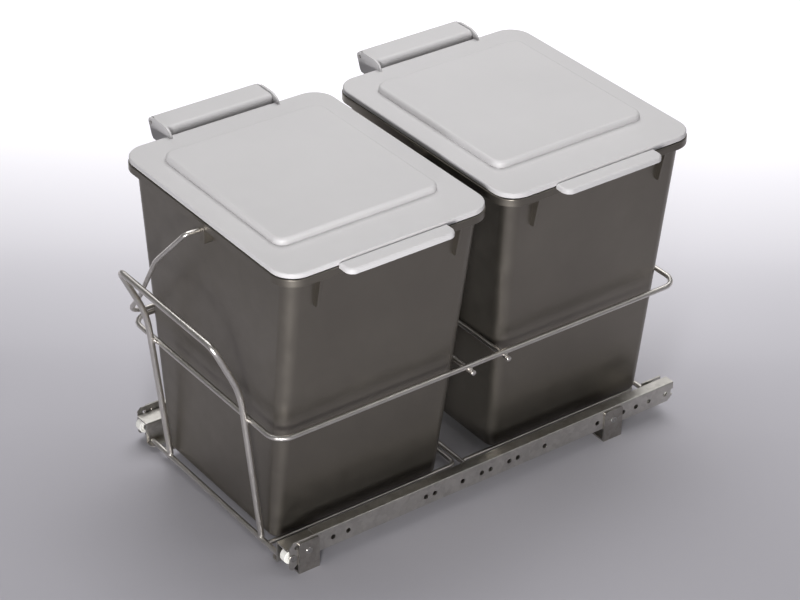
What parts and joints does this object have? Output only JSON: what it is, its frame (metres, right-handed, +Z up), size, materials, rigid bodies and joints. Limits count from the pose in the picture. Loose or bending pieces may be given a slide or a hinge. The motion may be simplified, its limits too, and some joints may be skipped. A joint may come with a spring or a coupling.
{
  "type": "pull out waste bin unit",
  "caption": "Floor-mounted pull-out waste unit: lidded tapered bins in a wire carriage with a bent pull handle, on side roller runners fixed by foot brackets.",
  "frame": {"origin": "on the cabinet floor, at the centre of the four foot screws", "axes": "+Y from the pull handle to the back, along the runners; +X across, towards the lids' grips; +Z up"},
  "size_m": [0.314, 0.5171, 0.3183],
  "materials": {
    "bin_plastic": "satin moulded",
    "lid_plastic": "fine grained",
    "frame_wire": "satin nickel",
    "runner_steel": "zinc plated",
    "bracket_steel": "zinc plated",
    "roller_nylon": "smooth",
    "pin_steel": "bright"
  },
  "bodies": {
    "mounting": {"left_cabinet_member": "runner_steel", "right_cabinet_member": "runner_steel", "front_left_bracket": "bracket_steel", "front_right_bracket": "bracket_steel", "rear_left_bracket": "bracket_steel", "rear_right_bracket": "bracket_steel", "bracket_rivets": "pin_steel", "front_roller_axles": "pin_steel"},
    "carriage": {"left_drawer_member": "runner_steel", "right_drawer_member": "runner_steel", "rear_roller_axles": "pin_steel", "hoop_rail": "frame_wire", "pull_handle": "frame_wire", "rear_uprights": "frame_wire", "centre_base_wire": "frame_wire", "front_cross_wire": "frame_wire", "front_base_wire": "frame_wire", "front_base_loop": "frame_wire", "front_floor_wires": "frame_wire", "rear_cross_wire": "frame_wire", "rear_base_wire": "frame_wire", "rear_base_loop": "frame_wire", "rear_floor_wires": "frame_wire"},
    "front_left_wheel": {"front_left_roller": "roller_nylon"},
    "front_right_wheel": {"front_right_roller": "roller_nylon"},
    "front_bin": {"front_bin": "bin_plastic", "front_hinge_bar": "lid_plastic", "front_hinge_pin": "pin_steel"},
    "front_lid": {"front_lid": "lid_plastic"},
    "front_bail": {"front_bail": "frame_wire"},
    "rear_left_wheel": {"rear_left_roller": "roller_nylon"},
    "rear_right_wheel": {"rear_right_roller": "roller_nylon"},
    "rear_bin": {"rear_bin": "bin_plastic", "rear_hinge_bar": "lid_plastic", "rear_hinge_pin": "pin_steel"},
    "rear_lid": {"rear_lid": "lid_plastic"},
    "rear_bail": {"rear_bail": "frame_wire"}
  },
  "joints": [
    {"name": "carriage_slide", "type": "slide", "parent": "mounting", "child": "carriage", "axis": [0, -1, 0], "range_m": [0, 0.34]},
    {"name": "front_left_roller_spin", "type": "hinge", "parent": "mounting", "child": "front_left_wheel", "pos_m": [-0.1223, -0.191, 0.0184], "axis": [1, 0, 0], "continuous": true},
    {"name": "front_right_roller_spin", "type": "hinge", "parent": "mounting", "child": "front_right_wheel", "pos_m": [0.1223, -0.191, 0.0184], "axis": [1, 0, 0], "continuous": true},
    {"name": "rear_left_roller_spin", "type": "hinge", "parent": "carriage", "child": "rear_left_wheel", "pos_m": [-0.1223, 0.239, 0.0245], "axis": [1, 0, 0], "continuous": true},
    {"name": "rear_right_roller_spin", "type": "hinge", "parent": "carriage", "child": "rear_right_wheel", "pos_m": [0.1223, 0.239, 0.0245], "axis": [1, 0, 0], "continuous": true},
    {"name": "front_bin_lift", "type": "slide", "parent": "carriage", "child": "front_bin", "axis": [0, 0, 1], "range_m": [0, 0.32]},
    {"name": "front_lid_hinge", "type": "hinge", "parent": "front_bin", "child": "front_lid", "pos_m": [-0.16, -0.0885, 0.3118], "axis": [0, -1, 0], "range_deg": [0, 100]},
    {"name": "front_bail_swing", "type": "hinge", "parent": "front_bin", "child": "front_bail", "pos_m": [0, -0.0885, 0.2935], "axis": [0, 1, 0], "range_deg": [0, 280.86]},
    {"name": "rear_bin_lift", "type": "slide", "parent": "carriage", "child": "rear_bin", "axis": [0, 0, 1], "range_m": [0, 0.32]},
    {"name": "rear_lid_hinge", "type": "hinge", "parent": "rear_bin", "child": "rear_lid", "pos_m": [-0.16, 0.1425, 0.3118], "axis": [0, -1, 0], "range_deg": [0, 100]},
    {"name": "rear_bail_swing", "type": "hinge", "parent": "rear_bin", "child": "rear_bail", "pos_m": [0, 0.1425, 0.2935], "axis": [0, 1, 0], "range_deg": [0, 280.86]}
  ],
  "couplings": [
    {"joint": "front_left_roller_spin", "follows": "carriage_slide", "rad_per_m": 136.99},
    {"joint": "front_right_roller_spin", "follows": "carriage_slide", "rad_per_m": 136.99},
    {"joint": "rear_left_roller_spin", "follows": "carriage_slide", "rad_per_m": 121.95},
    {"joint": "rear_right_roller_spin", "follows": "carriage_slide", "rad_per_m": 121.95}
  ]
}
